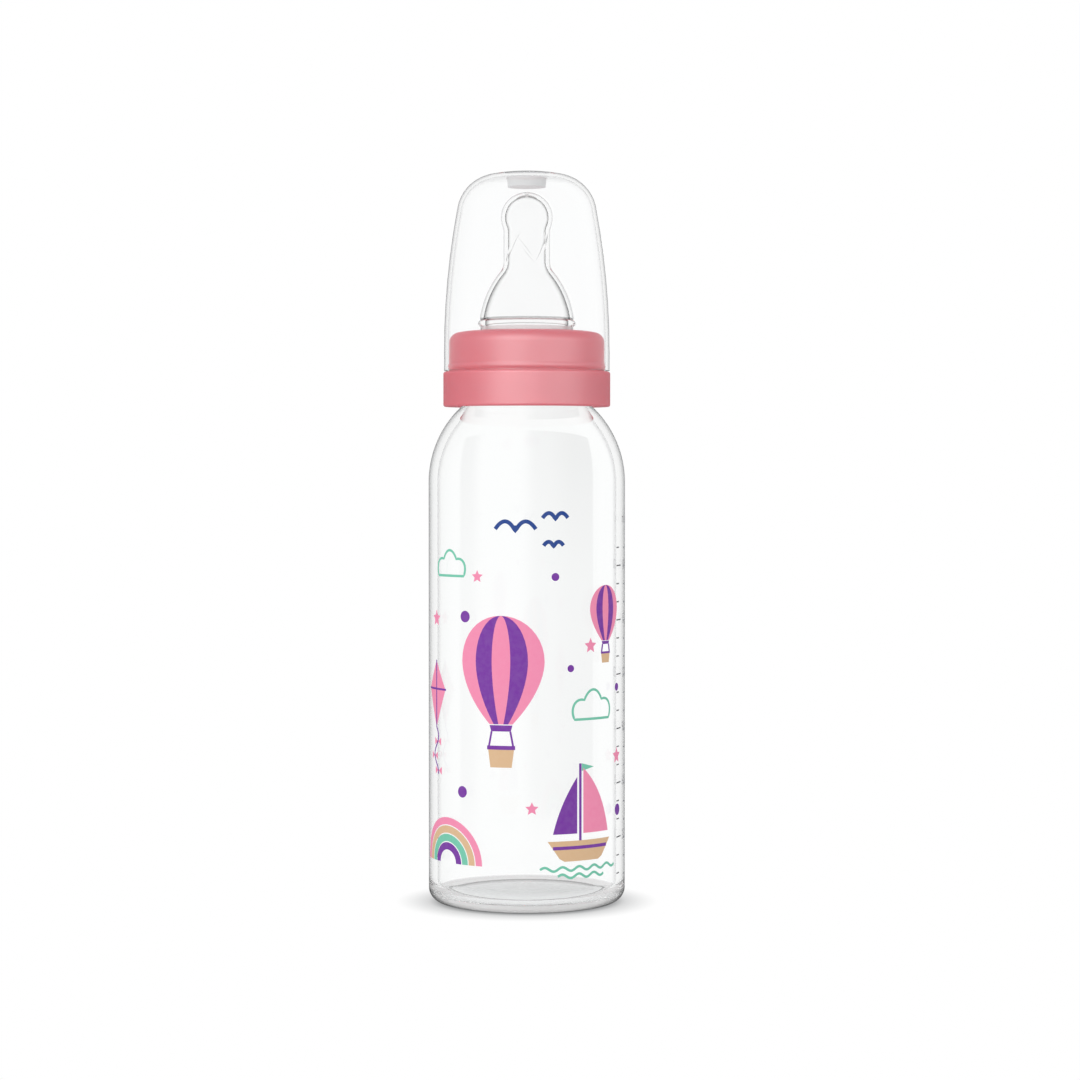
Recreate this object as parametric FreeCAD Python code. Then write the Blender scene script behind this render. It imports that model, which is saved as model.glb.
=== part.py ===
import FreeCAD, Part
import math
import os

# Feeding bottle: a glass bottle, a silicone teat, the collar that screws the teat down, and a clear cap.
# Millimetres, +Z up along the common axis, origin at the centre of the foot, front towards -Y.

# Bottle body and foot
body_diameter = 55.0
body_wall = 2.4
body_height = 117.5
heel_radius = 4.0
foot_width = 3.5
push_up = 0.6
floor_thickness = 1.9
inner_heel_radius = 4.1

# Bottle shoulder, neck and mouth
shoulder_radius = 29.0
neck_diameter = 35.6
neck_wall = 2.6
neck_blend = 2.0
inner_neck_blend = 18.0
lip_radius = 0.9

# Screw thread, right-handed, one start
thread_pitch = 4.0
thread_depth = 1.6
thread_flank_run = 0.5
thread_radial_clearance = 0.4
thread_flank_clearance = 0.3
thread_sink = 0.5
thread_fade_angle = 60.0
thread_step_angle = 15.0
neck_thread_turns = 1.5
neck_thread_below_mouth = 3.4
collar_thread_turns = 1.5
collar_thread_above_rim = 3.6

# Collar
collar_height = 21.2
collar_top_thickness = 2.2
collar_wall = 1.95
collar_shoulder_gap = 1.4
grip_band_height = 9.8
grip_band_proud = 0.2
grip_edge_radius = 0.6
snap_bead_height = 0.3
snap_bead_width = 1.8
snap_bead_above_step = 0.5
collar_corner_radius = 3.0
collar_crown_radius = 24.0
collar_flat_width = 1.3
collar_hole_clearance = 0.3
collar_hole_edge = 0.5
collar_mouth_chamfer = 0.5

# Teat
flange_overhang = 1.0
flange_thickness = 2.1
flange_edge = 0.4
waist_diameter = 26.0
waist_wall = 1.6
waist_entry_flare = 0.8
bead_diameter = 27.3
bead_width = 1.8
bead_clearance = 1.2
cone_base_diameter = 26.3
cone_above_bead = 0.6
cone_radius = 26.0
cone_lean = 8.0
cone_wall = 1.0
teat_neck_diameter = 13.0
teat_neck_wall = 1.25
teat_neck_length = 8.6
teat_neck_blend = 4.0
bulb_diameter = 14.44
bulb_wall = 1.15
bulb_blend = 4.0
flow_hole_diameter = 1.0
vent_hole_diameter = 1.0

# Slanted ribs that keep the teat's neck open
rib_count = 3
rib_radius = 0.8
rib_end_radius = 0.3
rib_sink = 0.15
rib_end_margin = 0.3
rib_twist = 70.0
rib_first_angle = 180.0
rib_steps = 8

# Cap
cap_wall = 1.0
cap_clearance = 0.12
cap_seat_gap = 0.3
cap_straight = 5.2
cap_side_radius = 217.0
cap_corner_radius = 11.4
cap_crown_radius = 58.0
boss_diameter = 10.6
boss_draft = 0.3
boss_length = 3.2
boss_tip_gap = 1.5


class Outline:
    """A closed outline of (radius, height) points, spun about the axis into a solid."""

    def __init__(self, radius, height):
        self.start = (radius, height)
        self.here = self.start
        self.edges = []

    def line(self, radius, height):
        end = (radius, height)
        self.edges.append(Part.makeLine(axial_point(*self.here), axial_point(*end)))
        self.here = end

    def arc(self, centre, end):
        """The shorter arc about a centre to the next point."""
        size = math.dist(centre, self.here)
        across = (self.here[0] + end[0] - 2 * centre[0], self.here[1] + end[1] - 2 * centre[1])
        reach = size / math.hypot(*across)
        middle = (centre[0] + across[0] * reach, centre[1] + across[1] * reach)
        curve = Part.Arc(axial_point(*self.here), axial_point(*middle), axial_point(*end))
        self.edges.append(curve.toShape())
        self.here = end

    def bump(self, height, end):
        """The arc that stands this far out halfway to the next point on the same radius."""
        half = (end[1] - self.here[1]) / 2
        size = (half * half + height * height) / (2 * height)
        self.arc((self.here[0] + height - size, self.here[1] + half), end)

    def spin(self):
        self.line(*self.start)
        face = Part.Face(Part.Wire(self.edges))
        return face.revolve(FreeCAD.Vector(0, 0, 0), FreeCAD.Vector(0, 0, 1), 360)


def axial_point(radius, height, angle=0.0):
    """A point at a distance from the axis, a height and an angle in degrees about the axis."""
    turn = math.radians(angle)
    return FreeCAD.Vector(radius * math.cos(turn), radius * math.sin(turn), height)


def towards(start, end, distance):
    """The point this far from start on the way to end."""
    share = distance / math.dist(start, end)
    return (start[0] + (end[0] - start[0]) * share, start[1] + (end[1] - start[1]) * share)


def blend_centre(circle, circle_radius, wall_radius, blend, side):
    """The centre of a blend that touches a circle and a straight wall outside, above (1) or below (-1)."""
    radius = wall_radius + blend
    rise = math.sqrt((circle_radius + blend) ** 2 - (radius - circle[0]) ** 2)
    return (radius, circle[1] + side * rise)


def corner_centre(first, first_radius, second, second_radius, corner):
    """The centre of a corner arc that touches two larger arcs from inside, on the outer side."""
    near = first_radius - corner
    far = second_radius - corner
    apart = math.dist(first, second)
    along = (near ** 2 - far ** 2 + apart ** 2) / (2 * apart)
    off = math.sqrt(near ** 2 - along ** 2)
    way = ((second[0] - first[0]) / apart, (second[1] - first[1]) / apart)
    foot = (first[0] + way[0] * along, first[1] + way[1] * along)
    return (foot[0] - way[1] * off, foot[1] + way[0] * off)


def thread_ridge(wall_radius, outward, low, turns, phase_height):
    """A screw ridge on a wall, outward (1) or inward (-1), that fades into the wall at both ends."""
    total = turns * 360.0
    steps = math.ceil(total / thread_step_angle)
    sections = []
    for step in range(steps + 1):
        run = total * step / steps
        height = low + thread_pitch * run / 360.0
        angle = 360.0 * (height - phase_height) / thread_pitch
        fade = min(1.0, run / thread_fade_angle, (total - run) / thread_fade_angle)
        rise = 0.5 - 0.5 * math.cos(math.pi * fade)
        root = wall_radius - outward * thread_sink
        crest = wall_radius + outward * (thread_depth * rise - thread_sink / 2 * (1 - rise))
        corners = [
            axial_point(root, height - thread_root_width / 2, angle),
            axial_point(crest, height - thread_crest_width / 2, angle),
            axial_point(crest, height + thread_crest_width / 2, angle),
            axial_point(root, height + thread_root_width / 2, angle),
        ]
        sections.append(Part.makePolygon(corners + corners[:1]))
    return Part.makeLoft(sections, True, False)


# Radii shared by the pieces
body_radius = body_diameter / 2
neck_radius = neck_diameter / 2
mouth_radius = neck_radius - neck_wall
bore_radius = neck_radius + thread_depth + thread_radial_clearance
collar_radius = bore_radius + collar_wall
cap_bore_radius = collar_radius + snap_bead_height + cap_clearance
cap_radius = cap_bore_radius + cap_wall
grip_radius = cap_radius + grip_band_proud
waist_radius = waist_diameter / 2
collar_hole_radius = waist_radius + collar_hole_clearance
flange_radius = neck_radius + flange_overhang
flow_radius = flow_hole_diameter / 2

# Heights shared by the pieces, from the shoulder up
shoulder_centre = (body_radius - shoulder_radius, body_height)
shoulder_under_rim = math.sqrt(shoulder_radius ** 2 - (bore_radius - shoulder_centre[0]) ** 2)
collar_rim = body_height + shoulder_under_rim + collar_shoulder_gap
collar_step = collar_rim + grip_band_height
collar_top = collar_rim + collar_height
clamp_height = collar_top - collar_top_thickness
mouth_height = clamp_height - flange_thickness
bead_low = collar_top + bead_clearance
cone_low = bead_low + bead_width + cone_above_bead

# Thread sections, with room between the flanks of the two threads
thread_mean_width = thread_pitch / 2 - thread_flank_clearance
thread_root_width = thread_mean_width + thread_flank_run
thread_crest_width = thread_mean_width - thread_flank_run

# Teat arcs, from the cone up to the tip
cone_base_radius = cone_base_diameter / 2
teat_neck_radius = teat_neck_diameter / 2
teat_bore_radius = teat_neck_radius - teat_neck_wall
bulb_radius = bulb_diameter / 2
lean = math.radians(cone_lean)
cone_centre = (cone_base_radius - cone_radius * math.cos(lean), cone_low - cone_radius * math.sin(lean))
cone_blend = blend_centre(cone_centre, cone_radius, teat_neck_radius, teat_neck_blend, 1)
bulb_drop = math.sqrt((bulb_radius + bulb_blend) ** 2 - (teat_neck_radius + bulb_blend) ** 2)
bulb_centre = (0.0, cone_blend[1] + teat_neck_length + bulb_drop)
teat_tip = bulb_centre[1] + bulb_radius

# Cap arcs, from the rim up to the crown
cap_rim = collar_step + cap_seat_gap
cap_crown_inside = teat_tip + boss_tip_gap + boss_length
cap_top = cap_crown_inside + cap_wall
cap_crown_centre = (0.0, cap_top - cap_crown_radius)
cap_side_centre = (cap_radius - cap_side_radius, cap_rim + cap_straight)
cap_corner = corner_centre(
    cap_side_centre, cap_side_radius, cap_crown_centre, cap_crown_radius, cap_corner_radius)


def make_bottle():
    foot_radius = body_radius - heel_radius
    ring_radius = foot_radius - foot_width
    push_up_radius = (ring_radius ** 2 + push_up ** 2) / (2 * push_up)
    floor = push_up + floor_thickness
    inner_radius = body_radius - body_wall
    inner_shoulder = shoulder_radius - body_wall
    outer_blend = blend_centre(shoulder_centre, shoulder_radius, neck_radius, neck_blend, 1)
    inner_blend = blend_centre(shoulder_centre, inner_shoulder, mouth_radius, inner_neck_blend, 1)
    lip_height = mouth_height - lip_radius

    glass = Outline(0.0, push_up)
    glass.arc((0.0, push_up - push_up_radius), (ring_radius, 0.0))
    glass.line(foot_radius, 0.0)
    glass.arc((foot_radius, heel_radius), (body_radius, heel_radius))
    glass.line(body_radius, body_height)
    glass.arc(shoulder_centre, towards(shoulder_centre, outer_blend, shoulder_radius))
    glass.arc(outer_blend, (neck_radius, outer_blend[1]))
    glass.line(neck_radius, lip_height)
    glass.arc((neck_radius - lip_radius, lip_height), (neck_radius - lip_radius, mouth_height))
    glass.line(mouth_radius + lip_radius, mouth_height)
    glass.arc((mouth_radius + lip_radius, lip_height), (mouth_radius, lip_height))
    glass.line(mouth_radius, inner_blend[1])
    glass.arc(inner_blend, towards(shoulder_centre, inner_blend, inner_shoulder))
    glass.arc(shoulder_centre, (inner_radius, body_height))
    glass.line(inner_radius, floor + inner_heel_radius)
    glass.arc((inner_radius - inner_heel_radius, floor + inner_heel_radius),
              (inner_radius - inner_heel_radius, floor))
    glass.line(0.0, floor)

    thread_top = mouth_height - neck_thread_below_mouth
    thread_low = thread_top - neck_thread_turns * thread_pitch
    thread = thread_ridge(neck_radius, 1, thread_low, neck_thread_turns, collar_rim)
    return glass.spin().fuse(thread)


def make_collar():
    crown_start = collar_hole_radius + collar_flat_width
    crown_centre = (crown_start, collar_top - collar_crown_radius)
    corner_radius = collar_radius - collar_corner_radius
    corner_reach = collar_crown_radius - collar_corner_radius
    corner_rise = math.sqrt(corner_reach ** 2 - (corner_radius - crown_start) ** 2)
    corner = (corner_radius, crown_centre[1] + corner_rise)
    bead_start = collar_step + snap_bead_above_step
    hole_edge_radius = collar_hole_radius + collar_hole_edge
    hole_edge_low = collar_top - collar_hole_edge
    grip_low = collar_rim + grip_edge_radius
    grip_high = collar_step - grip_edge_radius
    grip_round = grip_radius - grip_edge_radius

    ring = Outline(bore_radius + collar_mouth_chamfer, collar_rim)
    ring.line(grip_round, collar_rim)
    ring.arc((grip_round, grip_low), (grip_radius, grip_low))
    ring.line(grip_radius, grip_high)
    ring.arc((grip_round, grip_high), (grip_round, collar_step))
    ring.line(collar_radius, collar_step)
    ring.line(collar_radius, bead_start)
    ring.bump(snap_bead_height, (collar_radius, bead_start + snap_bead_width))
    ring.line(collar_radius, corner[1])
    ring.arc(corner, towards(crown_centre, corner, collar_crown_radius))
    ring.arc(crown_centre, (crown_start, collar_top))
    ring.line(hole_edge_radius, collar_top)
    ring.arc((hole_edge_radius, hole_edge_low), (collar_hole_radius, hole_edge_low))
    ring.line(collar_hole_radius, clamp_height)
    ring.line(bore_radius, clamp_height)
    ring.line(bore_radius, collar_rim + collar_mouth_chamfer)

    thread_low = collar_rim + collar_thread_above_rim
    thread = thread_ridge(bore_radius, -1, thread_low, collar_thread_turns, collar_rim + thread_pitch / 2)
    return ring.spin().fuse(thread)


def make_rib(first_angle):
    """One slanted rib on the bore of the teat's neck, thick in the middle and thin at both ends."""
    low = cone_blend[1] + rib_end_margin
    length = teat_neck_length - 2 * rib_end_margin
    path_radius = teat_bore_radius + rib_sink
    sections = []
    for step in range(rib_steps + 1):
        share = step / rib_steps
        size = rib_end_radius + (rib_radius - rib_end_radius) * math.sin(math.pi * share)
        height = low + length * share
        angle = first_angle + rib_twist * share
        inner = axial_point(path_radius - size, height, angle)
        outer = axial_point(path_radius + size, height, angle)
        above = axial_point(path_radius, height + size, angle)
        below = axial_point(path_radius, height - size, angle)
        upper_half = Part.Arc(inner, above, outer).toShape()
        lower_half = Part.Arc(outer, below, inner).toShape()
        sections.append(Part.Wire([upper_half, lower_half]))
    return Part.makeLoft(sections, True, False)


def make_teat():
    waist_bore = waist_radius - waist_wall
    flange_low = mouth_height + flange_edge
    flange_top = clamp_height - flange_edge
    flange_round = flange_radius - flange_edge
    inner_cone = cone_radius - cone_wall
    inner_bulb = bulb_radius - bulb_wall
    bulb_touch = (teat_neck_radius + bulb_blend, bulb_centre[1] - bulb_drop)
    inner_bulb_touch = blend_centre(bulb_centre, inner_bulb, teat_bore_radius, bulb_blend, -1)
    inner_cone_touch = blend_centre(
        cone_centre, inner_cone, teat_bore_radius, teat_neck_blend + teat_neck_wall, 1)
    inner_cone_base = cone_centre[0] + math.sqrt(inner_cone ** 2 - (cone_low - cone_centre[1]) ** 2)
    tip_rise = math.sqrt(bulb_radius ** 2 - flow_radius ** 2)
    inner_tip_rise = math.sqrt(inner_bulb ** 2 - flow_radius ** 2)

    skin = Outline(waist_bore + waist_entry_flare, mouth_height)
    skin.line(flange_round, mouth_height)
    skin.arc((flange_round, flange_low), (flange_radius, flange_low))
    skin.line(flange_radius, flange_top)
    skin.arc((flange_round, flange_top), (flange_round, clamp_height))
    skin.line(waist_radius, clamp_height)
    skin.line(waist_radius, bead_low)
    skin.bump((bead_diameter - waist_diameter) / 2, (waist_radius, bead_low + bead_width))
    skin.line(cone_base_radius, cone_low)
    skin.arc(cone_centre, towards(cone_centre, cone_blend, cone_radius))
    skin.arc(cone_blend, (teat_neck_radius, cone_blend[1]))
    skin.line(teat_neck_radius, bulb_touch[1])
    skin.arc(bulb_touch, towards(bulb_centre, bulb_touch, bulb_radius))
    skin.arc(bulb_centre, (flow_radius, bulb_centre[1] + tip_rise))
    skin.line(flow_radius, bulb_centre[1] + inner_tip_rise)
    skin.arc(bulb_centre, towards(bulb_centre, inner_bulb_touch, inner_bulb))
    skin.arc(inner_bulb_touch, (teat_bore_radius, inner_bulb_touch[1]))
    skin.line(teat_bore_radius, inner_cone_touch[1])
    skin.arc(inner_cone_touch, towards(cone_centre, inner_cone_touch, inner_cone))
    skin.arc(cone_centre, (inner_cone_base, cone_low))
    skin.line(waist_bore, bead_low)
    skin.line(waist_bore, mouth_height + waist_entry_flare)

    teat = skin.spin()
    for rib in range(rib_count):
        teat = teat.fuse(make_rib(rib_first_angle + rib * 360.0 / rib_count))
    vent_place = axial_point((waist_radius + mouth_radius) / 2, mouth_height)
    vent = Part.makeCylinder(vent_hole_diameter / 2, flange_thickness, vent_place)
    return teat.cut(vent)


def make_cap():
    boss_radius = boss_diameter / 2
    boss_low = teat_tip + boss_tip_gap
    inner_crown = cap_crown_radius - cap_wall
    inner_side = cap_side_radius - cap_wall
    boss_root_radius = boss_radius + boss_draft
    boss_root = cap_crown_centre[1] + math.sqrt(inner_crown ** 2 - boss_root_radius ** 2)

    hood = Outline(0.0, cap_top)
    hood.arc(cap_crown_centre, towards(cap_crown_centre, cap_corner, cap_crown_radius))
    hood.arc(cap_corner, towards(cap_side_centre, cap_corner, cap_side_radius))
    hood.arc(cap_side_centre, (cap_radius, cap_side_centre[1]))
    hood.line(cap_radius, cap_rim)
    hood.line(cap_bore_radius, cap_rim)
    hood.line(cap_bore_radius, cap_side_centre[1])
    hood.arc(cap_side_centre, towards(cap_side_centre, cap_corner, inner_side))
    hood.arc(cap_corner, towards(cap_crown_centre, cap_corner, inner_crown))
    hood.arc(cap_crown_centre, (boss_root_radius, boss_root))
    hood.line(boss_radius, boss_low)
    hood.line(0.0, boss_low)
    return hood.spin()


os.makedirs("parts", exist_ok=True)
pieces = {
    "bottle": make_bottle(),
    "screw_collar": make_collar(),
    "teat": make_teat(),
    "cap": make_cap(),
}
for name, shape in pieces.items():
    shape.exportStep(f"parts/{name}.step")
    print(name, shape.isValid(), len(shape.Solids), round(shape.Volume, 1))
print("overall height", round(cap_top, 2), "mouth", round(mouth_height, 2), "teat tip", round(teat_tip, 2))
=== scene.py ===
import math

import bpy
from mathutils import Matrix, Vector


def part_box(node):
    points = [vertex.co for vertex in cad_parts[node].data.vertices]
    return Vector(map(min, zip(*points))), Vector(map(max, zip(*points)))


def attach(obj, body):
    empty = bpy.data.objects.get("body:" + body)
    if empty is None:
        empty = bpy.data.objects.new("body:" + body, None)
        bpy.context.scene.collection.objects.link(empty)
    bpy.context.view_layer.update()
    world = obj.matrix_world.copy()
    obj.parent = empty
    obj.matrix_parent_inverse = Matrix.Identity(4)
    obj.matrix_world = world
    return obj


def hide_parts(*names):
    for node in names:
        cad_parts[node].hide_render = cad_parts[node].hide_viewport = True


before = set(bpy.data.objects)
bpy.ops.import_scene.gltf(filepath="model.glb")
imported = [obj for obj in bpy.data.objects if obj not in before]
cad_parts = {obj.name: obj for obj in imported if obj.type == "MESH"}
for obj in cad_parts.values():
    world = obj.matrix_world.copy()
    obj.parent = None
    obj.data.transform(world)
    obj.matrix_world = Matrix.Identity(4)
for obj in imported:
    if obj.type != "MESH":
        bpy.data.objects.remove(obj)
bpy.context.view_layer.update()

# A feeding bottle: glass body with a printed front, screw collar, silicone teat and clear cap.
# The outlines below are in millimetres and become metres as the meshes are made.
MM = 0.001

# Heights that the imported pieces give
mouth_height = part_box("bottle")[1].z / MM
collar_rim, collar_top = (corner.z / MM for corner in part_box("screw_collar"))
teat_tip_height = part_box("teat")[1].z / MM
cap_rim, cap_top = (corner.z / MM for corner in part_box("cap"))

# Glass body
body_radius = 27.5
body_wall = 2.4
body_height = 117.5
heel_radius = 4.0
foot_width = 3.5
push_up = 0.6
floor_height = 2.5
inner_heel_radius = 4.1
shoulder_radius = 29.0
neck_radius = 17.8
neck_bore = 15.2
neck_blend = 2.0
inner_neck_blend = 18.0
lip_radius = 0.9

# Looks of the glass: the foot's stipple in heights of the push-up, the milky heel greyed by a painted contact
# shade, and the painted dark shade round the floor's edge
stipple_full = 0.9
stipple_gone = 1.6
stipple_roughness = 0.45
milk_full = 2.4
milk_gone = 2.9
milk_shade = 0.8
milk_clearness = 0.3
floor_edge_low = 0.01
floor_edge_high = 0.25

# Screw thread of the neck and the collar
thread_pitch = 4.0
thread_depth = 1.6
thread_sink = 0.5
thread_turns = 1.5
thread_root_width = 2.2
thread_crest_width = 1.2
thread_fade = 60.0
thread_end_size = 0.2
thread_step = 7.5
neck_thread_below_mouth = 3.4
collar_thread_above_rim = 3.6

# Collar
collar_bore = 19.8
collar_radius = 21.75
collar_hole = 13.3
collar_top_thickness = 2.2
grip_radius = 23.37
grip_height = 9.8
grip_edge = 0.6
snap_bead_height = 0.3
snap_bead_width = 1.8
snap_bead_above_step = 0.5
collar_corner = 3.0
collar_crown = 24.0
collar_flat = 1.3
collar_hole_edge = 0.5
collar_mouth_chamfer = 0.5

# Teat
flange_radius = 18.8
flange_thickness = 2.1
flange_edge = 0.4
waist_radius = 13.0
waist_bore = 11.4
waist_flare = 0.8
bead_radius = 13.65
bead_width = 1.8
bead_above_collar = 1.2
cone_base_radius = 13.15
cone_above_bead = 0.6
cone_radius = 26.0
cone_wall = 1.0
cone_lean = 8.0
teat_neck_radius = 6.5
teat_neck_bore = 5.25
teat_neck_blend = 4.0
teat_neck_length = 8.6
bulb_radius = 7.22
bulb_wall = 1.15
bulb_blend = 4.0
flow_radius = 0.5
vent_radius = 0.5
rib_count = 3
rib_radius = 0.8
rib_end_radius = 0.3
rib_sink = 0.15
rib_margin = 0.3
rib_twist = 70.0
rib_first_angle = 180.0
rib_steps = 20
silicone_veil = 0.008

# Cap
cap_radius = 23.17
cap_wall = 1.0
cap_straight = 5.2
cap_side = 217.0
cap_corner_radius = 11.4
cap_crown = 58.0
boss_radius = 5.3
boss_draft = 0.3
boss_above_tip = 1.5
boss_colour = (0.75, 0.76, 0.765)
boss_roughness = 0.3
boss_milk = 0.9
boss_milk_start = 0.9

# Printed front: places are (round, height), measured round the wall from the front and up from the foot
ink_coat = 0.02
ink_cover = 0.93
first_layer = 0.012
second_layer = 0.034
print_line = 0.7
fine_line = 0.55
bird_line = 1.1
wave_height = 0.55
star_notch = 0.48
cloud_puff_width = 0.16
cloud_puff_height = 0.24

# Balloons of the print, in radii
balloon_crown = 1.04
balloon_drop = 1.42
balloon_skirt = 0.27
balloon_taper = 1.8
balloon_stripes = (-1.0, -0.62, -0.22, 0.22, 0.62, 1.0)

# Scale: a mark for every 10 ml, of which every third has a number
scale_numbered = 3
scale_last = 19
scale_first_height = 18.5
scale_step_height = 15.16 / 3
scale_unit_rise = 1.6
scale_edge = 37.0
scale_tick = 2.4
scale_long_tick = 4.2
scale_line = 0.4
scale_text_size = 4.2
scale_text_gap = 1.2

# Mesh fineness
bend_step = 1.25
round_sides = 192
teat_sides = 144
rib_sides = 20
vent_sides = 32
letter_steps = 4
arc_step = 0.35
arc_least_steps = 6
arc_coarse_size = 10.0
hold_edge = 0.2
smooth_angle = 35.0
merge_distance = 0.001
cut_reach = 0.0001

# Where most of a noise texture's values lie, and how blue the painted dark rims of clear pieces are
noise_range = (0.3, 0.7)
rim_blue = 1.02

# Floor, in metres, and the colours of the painted shadow on it
floor_size = 8.0
floor_drop = 0.0001
floor_shade_reach = 0.01
floor_shade = (0.33, 0.335, 0.34)
floor_shade_through_glass = (0.85, 0.855, 0.86)

# Card behind the bottle, in metres, with its upright fades of painted shade as (across in millimetres, depth)
card_back = 0.1
card_top = 0.1355
card_half = card_top / 2
card_fades = (
    (-29.0, 0.0), (-26.0, 0.04), (-22.5, 0.035), (-16.5, 0.0), (-3.0, 0.0), (4.0, 0.035), (18.0, 0.06),
    (25.6, 0.06), (26.8, 0.0))
card_deepen = 1.9
card_deepen_heights = (0.085, 0.125)
card_foot_heights = (0.0, 0.02)

# Room that reflections see, as (degrees round from the front, level): a broad box left, a narrow one right
room_boxes = (
    (-180.0, 0.2), (-115.0, 0.15), (-85.0, 1.0), (-15.0, 1.0), (12.0, 0.12), (88.0, 0.12),
    (97.0, 0.9), (115.0, 0.9), (130.0, 0.3), (180.0, 0.2))
room_level = 0.9


def part_way(start, end, share):
    """The point at a share of the way from start to end."""
    return (start[0] + (end[0] - start[0]) * share, start[1] + (end[1] - start[1]) * share)


class TurnedOutline:
    """An outline of (radius, height) points, drawn with lines and arcs, that a piece is turned from."""

    def __init__(self, radius, height):
        self.points = [(radius, height)]

    def line(self, radius, height):
        """A straight stretch, with a holding ring near each end so that the shading stays crisp."""
        here = self.points[-1]
        length = math.dist(here, (radius, height))
        if length > 4 * hold_edge:
            for share in (hold_edge / length, 1 - hold_edge / length):
                self.points.append(part_way(here, (radius, height), share))
        self.points.append((radius, height))

    def arc(self, centre, end):
        """The shorter arc about a centre to the next point."""
        here = self.points[-1]
        size = math.dist(centre, here)
        start_angle = math.atan2(here[1] - centre[1], here[0] - centre[0])
        end_angle = math.atan2(end[1] - centre[1], end[0] - centre[0])
        sweep = (end_angle - start_angle + math.pi) % (2 * math.pi) - math.pi
        coarser = max(1.0, size / arc_coarse_size)
        steps = max(arc_least_steps, math.ceil(abs(sweep) * size / arc_step / coarser))
        for step in range(1, steps):
            angle = start_angle + sweep * step / steps
            self.points.append((centre[0] + size * math.cos(angle), centre[1] + size * math.sin(angle)))
        self.points.append(end)

    def bump(self, rise, end):
        """The arc that stands this far out halfway to the next point on the same radius."""
        here = self.points[-1]
        half = (end[1] - here[1]) / 2
        size = (half * half + rise * rise) / (2 * rise)
        self.arc((here[0] + rise - size, here[1] + half), end)

    def close(self):
        self.line(*self.points[0])


def towards(start, end, distance):
    """The point this far from start on the way to end."""
    return part_way(start, end, distance / math.dist(start, end))


def blend_centre(circle, circle_radius, wall_radius, blend, side):
    """The centre of a blend between a circle and a straight wall, above (1) or below (-1) the circle."""
    radius = wall_radius + blend
    rise = math.sqrt((circle_radius + blend) ** 2 - (radius - circle[0]) ** 2)
    return (radius, circle[1] + side * rise)


def corner_centre(first, first_radius, second, second_radius, corner):
    """The centre of a corner that touches two larger arcs from inside."""
    near = first_radius - corner
    far = second_radius - corner
    apart = math.dist(first, second)
    along = (near ** 2 - far ** 2 + apart ** 2) / (2 * apart)
    off = math.sqrt(near ** 2 - along ** 2)
    way = ((second[0] - first[0]) / apart, (second[1] - first[1]) / apart)
    foot = (first[0] + way[0] * along, first[1] + way[1] * along)
    return (foot[0] - way[1] * off, foot[1] + way[0] * off)


def edit_all():
    """Goes to edit mode with the whole mesh selected."""
    bpy.ops.object.mode_set(mode="EDIT")
    bpy.ops.mesh.select_all(action="SELECT")


def start_mesh(name, radius, height):
    """A new piece in edit mode with one vertex on it, at a radius and a height."""
    bpy.ops.object.select_all(action="DESELECT")
    bpy.ops.mesh.primitive_plane_add(size=MM)
    piece = bpy.context.object
    piece.name = name
    piece.data.name = name
    edit_all()
    bpy.ops.mesh.merge(type="CENTER")
    bpy.ops.transform.translate(value=(radius * MM, 0.0, height * MM))
    return piece


def draw_line(name, points):
    """A new piece in edit mode: a line of vertices through (radius, height) points, all selected."""
    piece = start_mesh(name, *points[0])
    for here, there in zip(points, points[1:]):
        step = ((there[0] - here[0]) * MM, 0.0, (there[1] - here[1]) * MM)
        bpy.ops.mesh.extrude_vertices_move(TRANSFORM_OT_translate={"value": step})
    bpy.ops.mesh.select_all(action="SELECT")
    return piece


def close_mesh(merge=True):
    """Merges doubles where asked, turns all faces outwards, leaves edit mode and shades the piece."""
    bpy.ops.mesh.select_all(action="SELECT")
    if merge:
        bpy.ops.mesh.remove_doubles(threshold=merge_distance * MM)
    bpy.ops.mesh.normals_make_consistent(inside=False)
    bpy.ops.object.mode_set(mode="OBJECT")
    bpy.ops.object.shade_smooth_by_angle(angle=math.radians(smooth_angle))


def turn_piece(name, outline, sides):
    """Draws an outline vertex by vertex and spins it once round the axis."""
    piece = draw_line(name, outline.points)
    bpy.ops.mesh.spin(steps=sides, angle=2 * math.pi, center=(0, 0, 0), axis=(0, 0, 1))
    close_mesh()
    return piece


def make_active(piece):
    bpy.ops.object.select_all(action="DESELECT")
    piece.select_set(True)
    bpy.context.view_layer.objects.active = piece


def join_solid(piece, tool, operation="UNION"):
    """Joins a second solid to a piece, or cuts it out, and takes the second one away."""
    make_active(piece)
    joint = piece.modifiers.new("joined", "BOOLEAN")
    joint.operation = operation
    joint.solver = "EXACT"
    joint.object = tool
    bpy.ops.object.modifier_apply(modifier=joint.name)
    bpy.data.objects.remove(tool)
    bpy.ops.object.shade_smooth_by_angle(angle=math.radians(smooth_angle))


def turn_about_axis(angle):
    """Turns what is selected about the upright axis; with no window the operator turns the other way."""
    bpy.ops.transform.rotate(value=-math.radians(angle), orient_axis="Z", center_override=(0.0, 0.0, 0.0))


def scale_about(radius, angle, height, size):
    """Scales what is selected about a place at a radius, an angle about the axis and a height."""
    turn = math.radians(angle)
    anchor = (radius * MM * math.cos(turn), radius * MM * math.sin(turn), height * MM)
    bpy.ops.transform.resize(value=(size,) * 3, center_override=anchor)


def sweep_section(steps, turn_step, rise_step, size_at, anchor_radius, low, first_angle):
    """Extrudes the selected section step by step round the axis and upwards, scaled about its anchor."""
    size_before = size_at(0.0)
    for step in range(1, steps + 1):
        bpy.ops.mesh.extrude_region_move(TRANSFORM_OT_translate={"value": (0.0, 0.0, rise_step * MM)})
        turn_about_axis(turn_step)
        size = size_at(step / steps)
        scale_about(
            anchor_radius, first_angle + turn_step * step, low + rise_step * step, size / size_before)
        size_before = size


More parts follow.
